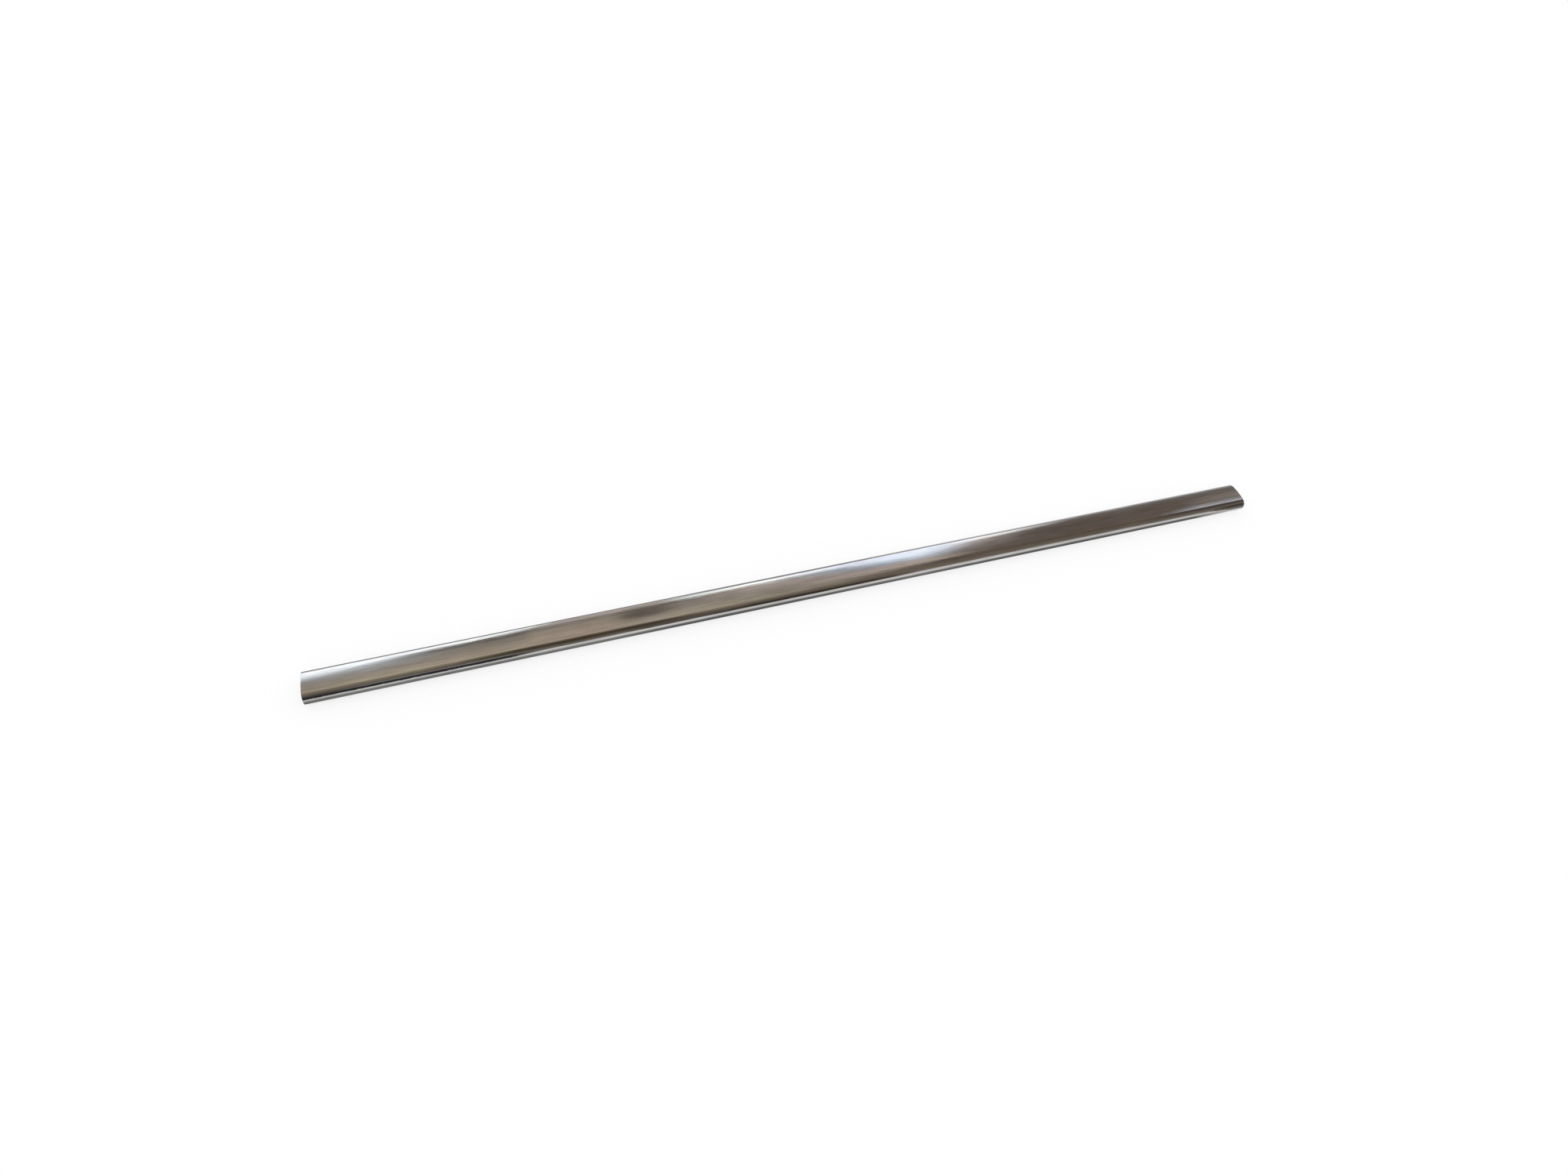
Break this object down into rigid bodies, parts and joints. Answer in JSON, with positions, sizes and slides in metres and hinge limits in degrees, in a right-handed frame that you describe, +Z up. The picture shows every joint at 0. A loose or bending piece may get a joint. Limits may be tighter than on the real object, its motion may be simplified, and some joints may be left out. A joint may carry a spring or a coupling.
{
  "type": "closet rod",
  "caption": "Straight oval tube with crowned broad faces, rounded narrow edges and square-cut open ends: a chromed steel rod that spans oval end sockets to hang clothes on.",
  "frame": {"origin": "middle of the line on which the rod rests, halfway along its length", "axes": "+X along the rod, +Y across the width of its oval, +Z up through its thickness"},
  "size_m": [0.9144, 0.03, 0.0148],
  "materials": {
    "chrome_plate": "bright chrome plate on drawn steel tube, with faint lines along the length"
  },
  "bodies": {
    "root": {"oval_tube": "chrome_plate"}
  },
  "joints": []
}
